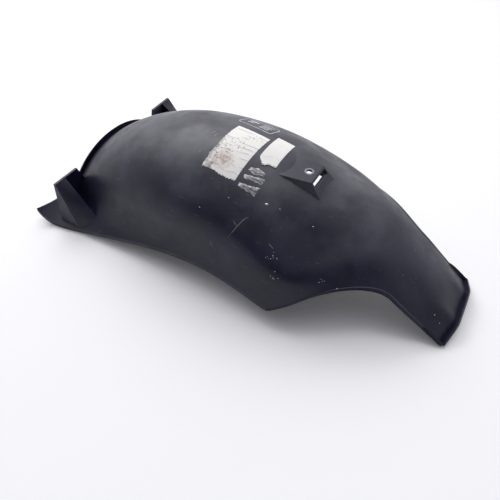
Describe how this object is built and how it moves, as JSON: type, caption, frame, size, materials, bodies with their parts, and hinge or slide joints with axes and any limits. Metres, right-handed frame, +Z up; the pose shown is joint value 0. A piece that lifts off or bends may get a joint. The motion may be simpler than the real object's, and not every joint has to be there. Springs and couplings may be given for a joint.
{
  "type": "motorcycle rear inner fender",
  "caption": "Moulded plastic arch that shields a motorcycle's underseat area from the rear wheel, with flared rims, end lips, front ears and a slotted bolt boss.",
  "frame": {"origin": "on the floor under the middle of the part's box, as it stands on its two front feet and the two tail corners", "axes": "+X from the wide front end towards the narrow tail, +Y across, +Z up"},
  "size_m": [0.533, 0.271, 0.1355],
  "materials": {
    "shell": "satin black polypropylene, scuffed"
  },
  "bodies": {
    "root": {"fender_shell": "shell"}
  },
  "joints": []
}
